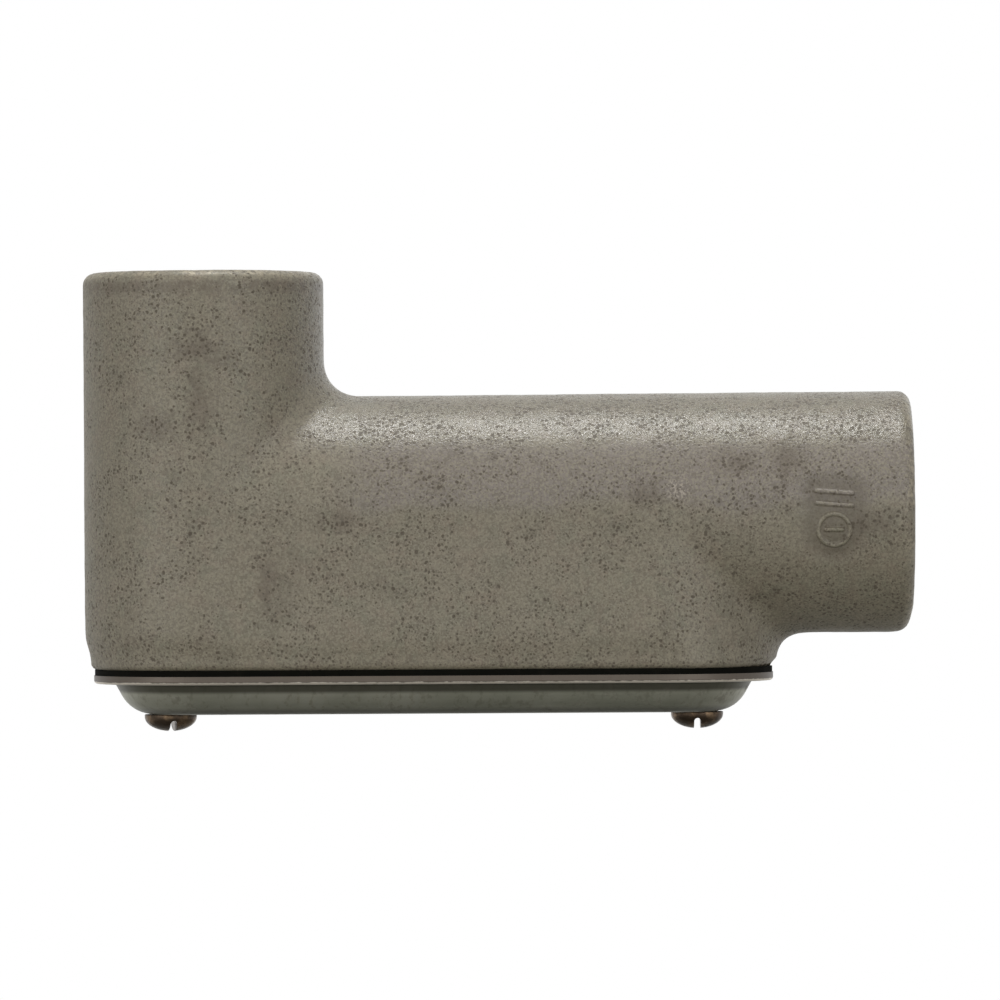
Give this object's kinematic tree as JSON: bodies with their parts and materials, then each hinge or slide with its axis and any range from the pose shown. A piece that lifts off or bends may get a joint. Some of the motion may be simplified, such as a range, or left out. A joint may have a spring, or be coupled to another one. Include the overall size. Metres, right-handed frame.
{
  "type": "conduit body",
  "caption": "Right-angle conduit body in cast iron with a back hub, a run hub and a screwed steel cover for pulling and turning wires.",
  "frame": {"origin": "centre of the back hub's mouth", "axes": "+Z out of the back hub, +X out of the run hub, Y across the body"},
  "size_m": [0.1493, 0.0436, 0.0828],
  "materials": {
    "casting": "as cast, greyed, with brown stains and fine pits",
    "gasket": "black sheet rubber",
    "cover_steel": "dull greenish-grey plating, worn brown at the flange",
    "screw_steel": "dark bronze plating",
    "nut_steel": "dull plating"
  },
  "bodies": {
    "body": {"body_casting": "casting"},
    "cover": {"cover": "cover_steel", "gasket": "gasket"},
    "screw_back": {"cover_screw_back": "screw_steel"},
    "screw_run": {"cover_screw_run": "screw_steel"},
    "nut_back": {"wedge_nut_back": "nut_steel"},
    "nut_run": {"wedge_nut_run": "nut_steel"}
  },
  "joints": [
    {"name": "cover_lift", "type": "slide", "parent": "body", "child": "cover", "axis": [0, 0, -1], "range_m": [0, 0.046]},
    {"name": "screw_back_turn", "type": "hinge", "parent": "cover", "child": "screw_back", "pos_m": [-0.0063, 0, -0.0797], "axis": [0, 0, -1], "range_deg": [0, 1440]},
    {"name": "screw_run_turn", "type": "hinge", "parent": "cover", "child": "screw_run", "pos_m": [0.0889, 0, -0.0797], "axis": [0, 0, -1], "range_deg": [0, 1440]},
    {"name": "nut_back_travel", "type": "slide", "parent": "body", "child": "nut_back", "axis": [0, 0, 1], "range_m": [0, 0.00317]},
    {"name": "nut_run_travel", "type": "slide", "parent": "body", "child": "nut_run", "axis": [0, 0, 1], "range_m": [0, 0.00317]}
  ],
  "couplings": [
    {"joint": "screw_back_turn", "follows": "nut_back_travel", "rad_per_m": 7915.8},
    {"joint": "screw_run_turn", "follows": "nut_run_travel", "rad_per_m": 7915.8}
  ]
}
